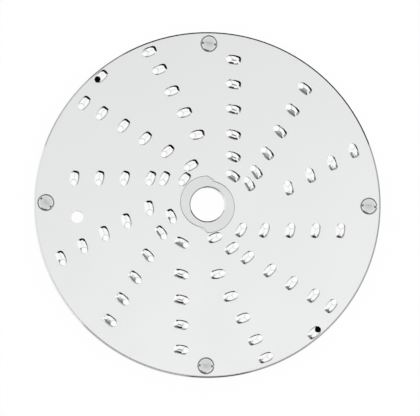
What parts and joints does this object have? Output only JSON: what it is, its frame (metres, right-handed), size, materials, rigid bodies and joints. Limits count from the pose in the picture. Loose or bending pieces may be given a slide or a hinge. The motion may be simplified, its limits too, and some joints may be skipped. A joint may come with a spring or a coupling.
{
  "type": "food processor grating disc",
  "caption": "Round steel grating disc with rows of raised pierced teeth, screwed to a spoked cast carrier with a central drive bore.",
  "frame": {"origin": "on the bore's axis, at the underside that the disc lies on", "axes": "+Z along the bore out of the toothed face, +X to the right and +Y up as the picture shows it"},
  "size_m": [0.205, 0.205, 0.0095],
  "materials": {
    "plate_steel": "bright rolled stainless sheet with polished teeth",
    "carrier_aluminium": "cast and turned aluminium",
    "screw_steel": "turned stainless, slotted"
  },
  "bodies": {
    "root": {"grating_plate": "plate_steel", "carrier": "carrier_aluminium", "rim_screws": "screw_steel"}
  },
  "joints": []
}
